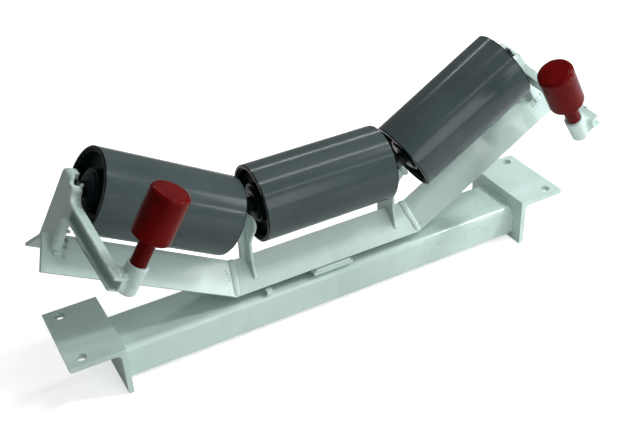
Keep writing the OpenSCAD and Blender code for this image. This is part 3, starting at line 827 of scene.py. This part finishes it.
def knee_welds():
    """Over the ridge at each mitre, from toe to toe."""
    lean = math.tan(TROUGH / 2)
    toe = TOE_Y - 1 * MM
    for sign in (-1, 1):
        crease = [Vector((sign * (KNEE_X + drop * lean), y, RIDGE_Z - drop))
                  for drop, y in ((toe, -toe), (0, 0), (toe, toe))]
        yield crease, *KNEE_BEAD, off_ridge


def ridge_foot_welds(place, faces, front, behind, size):
    """Along the foot of a plate that stands across the ridge, on its inner and outer face."""
    for x, out in zip(faces, (-1, 1)):
        path = [place @ Vector(p) for p in ((x, front, -abs(front)), (x, 0, 0),
                                            (x, behind, -abs(behind)))]
        yield path, *size, place.to_3x3() @ Vector((0.9 * out, 0, 0.6))


def bracket_welds(side):
    """Round the feet of the end casting and of the inner bracket."""
    wing = sided(side, WING)
    level = sided(side, Matrix.Translation((0, 0, RIDGE_Z)))
    yield from ridge_foot_welds(wing, (CAST_IN, CAST_OUT), -16 * MM, 26 * MM, STRUT_BEAD)
    front = [wing @ Vector((x, STRUT_FRONT, STRUT_FRONT)) for x in (CAST_IN, CAST_OUT - 4 * MM)]
    yield front, *STRUT_FRONT_BEAD, wing.to_3x3() @ Vector((0, -1, 0.4))
    yield from ridge_foot_welds(level, (LEAF_OUT - LEAF_T, LEAF_OUT), -25 * MM, 25 * MM,
                                LEAF_BEAD)


def base_welds():
    """Where the beam's end meets each foot: over its top and down both sides."""
    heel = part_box("foot_right")[0][0]
    low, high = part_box("base_beam")
    corner = 9 * MM
    for sign in (-1, 1):
        top = [Vector((sign * heel, y, high[2])) for y in (low[1] + corner, high[1] - corner)]
        yield top, *FOOT_TOP_BEAD, Vector((-sign, 0, 1))
        for y in (low[1], high[1]):
            upright = [Vector((sign * heel, y, z)) for z in (high[2] - corner, low[2] + 2 * MM)]
            yield upright, *FOOT_SIDE_BEAD, Vector((-sign, math.copysign(1, y), 0))


def pivot_welds():
    """Along the ridge's toes, where they stand on the pivot plate."""
    low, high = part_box("pivot_welds")
    for y in (low[1], high[1]):
        out = math.copysign(1, y)
        inner = y - out * 3 * MM
        path = [Vector((x, inner, low[2])) for x in (low[0], high[0])]
        yield path, *PIVOT_BEAD, Vector((0, out, 0.8))


def lug_welds():
    """Beside both stop lugs, on top of the beam."""
    low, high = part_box("stop_lugs")
    for y in (low[1], high[1]):
        out = math.copysign(1, y)
        ends = (y - out * 5.5 * MM, y - out * 0.8 * MM)
        for x, lean in ((low[0], -1), (high[0], 1)):
            path = [Vector((x, end, low[2])) for end in ends]
            yield path, *LUG_BEAD, Vector((lean, 0, 1))


def drops(count, start, along, down):
    """Random places and sizes of drops, in mm along the wing from start and down its face."""
    return [(start + random.uniform(*along) * MM, random.uniform(*down) * MM,
             random.uniform(0.25, 0.6)) for _ in range(count)]


def spatter():
    """Drops of weld metal that stuck beside the beads, and a splash on each strut."""
    random.seed(7)
    bm = bmesh.new()
    for side in SIDES:
        wing = sided(side, WING)
        spots = [(CAST_IN - 3 * MM, 13 * MM, 1.0), (CAST_IN - 6 * MM, 20 * MM, 0.7)]
        spots += drops(9, CAST_IN, (-2, -26), (6, 30))
        spots += drops(8, 0.0, (-14, 14), (6, 33))
        for along, down, size in spots:
            place = wing @ Matrix.Translation((along, -down, -down))
            radius = 2.1 * MM * size
            blob(bm, place, (radius, radius, radius * 0.8), seed=along * 1000 + down * 500)
        splash = wing @ Matrix.Translation((CAST_IN - 0.5 * MM, STRUT_FRONT, 13.6 * MM))
        blob(bm, splash, (2.6 * MM, 1.6 * MM, 2.2 * MM), seed=3.0, rough=0.9)
    add_piece("weld_spatter", to_mesh("weld_spatter", bm), "bead_paint")


for side in SIDES:
    end_bracket(side)
    inner_bracket(side)
for side in SIDES:
    weld(f"bracket_welds_{side}", bracket_welds(side))
weld("knee_beads", knee_welds(), replaces=("knee_welds",))
weld("pivot_beads", pivot_welds(), replaces=("pivot_welds",))
weld("base_beads", base_welds(), "base", ("base_welds",))
weld("lug_beads", lug_welds(), "base")
spatter()

# ------------------------------------------------------------------ stage


def stand(obj, place, right, up, back):
    """Puts a camera or lamp at a place, looking along -back."""
    turn = Matrix((right, up, back)).transposed().to_4x4()
    obj.matrix_world = Matrix.Translation(place) @ turn


def camera():
    """The photo's view: a turn round the target, and rolled a little."""
    back = Vector((math.sin(CAM_AZ) * math.cos(CAM_EL), -math.cos(CAM_AZ) * math.cos(CAM_EL),
                   math.sin(CAM_EL)))
    right = (-back).cross(Vector((0, 0, 1))).normalized()
    up = right.cross(-back)
    rolled_right = right * math.cos(CAM_ROLL) + up * math.sin(CAM_ROLL)
    rolled_up = up * math.cos(CAM_ROLL) - right * math.sin(CAM_ROLL)
    data = bpy.data.cameras.new("camera")
    data.lens = CAM_LENS
    data.sensor_width = CAM_SENSOR
    data.clip_start = 0.05
    data.clip_end = 100.0
    obj = new_object("camera", data)
    stand(obj, CAM_TARGET + back * CAM_DISTANCE, rolled_right, rolled_up, back)
    bpy.context.scene.camera = obj


def area_light(name, place, aim, size, power, along=(1, 0, 0)):
    """Rectangle of light at place, facing aim, its width laid along a direction."""
    data = bpy.data.lights.new(name, "AREA")
    data.shape = "RECTANGLE"
    data.size, data.size_y = size
    data.energy = power
    back = (Vector(place) - Vector(aim)).normalized()
    width = Vector(along)
    width = (width - back * width.dot(back)).normalized()
    stand(new_object(name, data), place, width, back.cross(width), back)


def floor_material():
    """Matt and pale under the lamps, and with a glow that makes it near white to the camera."""
    g = new_material("floor")
    seen, mirror = g.rays()
    colour = g.mix(g.math("MAXIMUM", seen, mirror), FLOOR_LIT, FLOOR_SEEN)
    glow = g.math("ADD", g.math("MULTIPLY", seen, FLOOR_GLOW_SEEN),
                  g.math("MULTIPLY", mirror, FLOOR_GLOW_MIRRORED))
    matt = g.node("BsdfDiffuse", {"Color": colour})
    light = g.node("Emission", {"Color": WHITE, "Strength": glow})
    both = g.node("AddShader", {0: matt.outputs[0], 1: light.outputs[0]})
    g.node("OutputMaterial", {"Surface": both.outputs[0]})
    return g.owner


def floor():
    """Plain square that the feet's lower edges stand on."""
    low = cad_box[0][2]
    half = 9.0
    mesh = bpy.data.meshes.new("floor")
    mesh.from_pydata([(-half, -half, low), (half, -half, low), (half, half, low),
                      (-half, half, low)], [], [(0, 1, 2, 3)])
    mesh.materials.append(floor_material())
    obj = new_object("floor", mesh)


def world(seen, mirror_level, lit):
    """Sky strengths for the camera, for mirrored and refracted rays, and for light."""
    made = bpy.data.worlds.new("world")
    bpy.context.scene.world = made
    g = Graph(made)
    camera_ray, mirror = g.rays()
    level = g.math("MULTIPLY_ADD", mirror, mirror_level - lit, lit)
    level = g.math("MULTIPLY_ADD", camera_ray, seen - lit, level)
    sky = g.node("Background", {"Color": WHITE, "Strength": level})
    g.node("OutputWorld", {"Surface": sky.outputs[0]})


MIDDLE = (0.0, 0, 0.1)
STRIP_AIM = (0.55, 0, 0.12)
STRIP = (1.1, 0.06)
# name: place, aim, size, power and, where it isn't X, the way its width lies
LAMPS = {
    "key": ((1.3, -0.65, 1.7), (0.1, 0, 0.1), (0.28, 0.28), 20),
    "top": ((0.5, 0.3, 2.0), MIDDLE, (1.0, 1.0), 2),
    "front": ((0.4, -1.9, 0.7), MIDDLE, (0.8, 1.0), 9.5),
    "left": ((-1.7, -0.9, 0.9), MIDDLE, (0.8, 1.0), 1.2),
    "right": ((1.62, -0.55, 0.72), (-0.1, 0, 0.1), (0.7, 0.6), 9),
    "strip_over": ((0.55, -0.22, 1.6), STRIP_AIM, STRIP, 6),
    "strip_back": ((0.55, 1.0, 1.2), STRIP_AIM, STRIP, 5),
    "strip_front": ((0.55, -1.1, 1.2), STRIP_AIM, STRIP, 2),
    "strip_side": ((1.29, -1.09, 0.29), (-0.2, 0, 0.12), (0.8, 0.05), 4,
                   MIRROR.to_3x3() @ WING_AXIS),
}

camera()
floor()
world(SKY_SEEN, SKY_MIRRORED, SKY_LIT)
for name, lamp in LAMPS.items():
    area_light(name, *lamp)
bpy.context.scene.view_settings.view_transform = "Standard"
